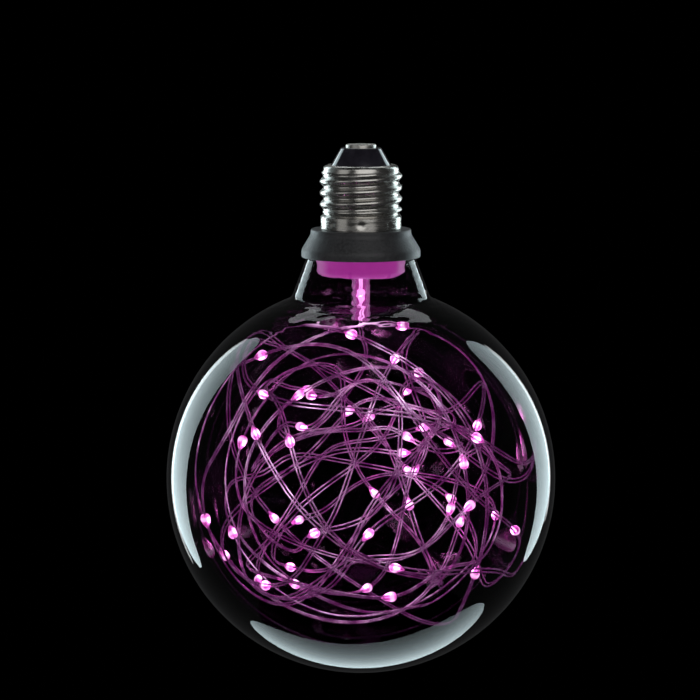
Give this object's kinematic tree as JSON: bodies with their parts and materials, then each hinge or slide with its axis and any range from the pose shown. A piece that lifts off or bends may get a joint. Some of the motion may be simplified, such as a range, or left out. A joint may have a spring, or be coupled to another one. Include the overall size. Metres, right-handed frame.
{
  "type": "led globe bulb",
  "caption": "Clear glass globe bulb on a screw cap, with a string of lit resin drops on fine paired wire wound loosely inside.",
  "frame": {"origin": "middle of the centre contact's outer face, where the cap meets the lampholder's spring", "axes": "+Z along the bulb's axis towards the lampholder, so the globe hangs down; -Y faces the picture's camera"},
  "size_m": [0.125, 0.125, 0.17],
  "materials": {
    "clear_glass": "clear blown glass",
    "collar_plastic": "black moulded plastic",
    "plug_plastic": "milky plastic, lit from inside",
    "sleeve_plastic": "translucent sleeve, lit from inside",
    "silicone": "cured white silicone",
    "nickel_shell": "nickel-plated, satin",
    "black_glass": "dark insulating glass",
    "contact_metal": "tinned contact",
    "board": "green solder mask",
    "black_epoxy": "moulded epoxy",
    "film_box": "moulded box",
    "can_sleeve": "shrunk sleeve",
    "resistor_lacquer": "lacquer",
    "lead_wire": "tinned copper",
    "string_wire": "lacquered wire in the lights' magenta",
    "led_die": "lit",
    "resin_drop": "clear resin lit from inside"
  },
  "bodies": {
    "root": {"screw_shell": "nickel_shell", "cap_insulator": "black_glass", "centre_contact": "contact_metal", "base_collar": "collar_plastic", "glass_globe": "clear_glass", "neck_cement": "silicone", "neck_plug": "plug_plastic", "wire_stem": "sleeve_plastic", "driver_board": "board", "rectifier": "black_epoxy", "driver_chip": "black_epoxy", "film_capacitor": "film_box", "smoothing_capacitor": "can_sleeve", "fuse_resistor": "resistor_lacquer", "live_lead": "lead_wire", "neutral_lead": "lead_wire", "led_wires": "string_wire", "led_chips": "led_die", "led_beads": "resin_drop"}
  },
  "joints": []
}
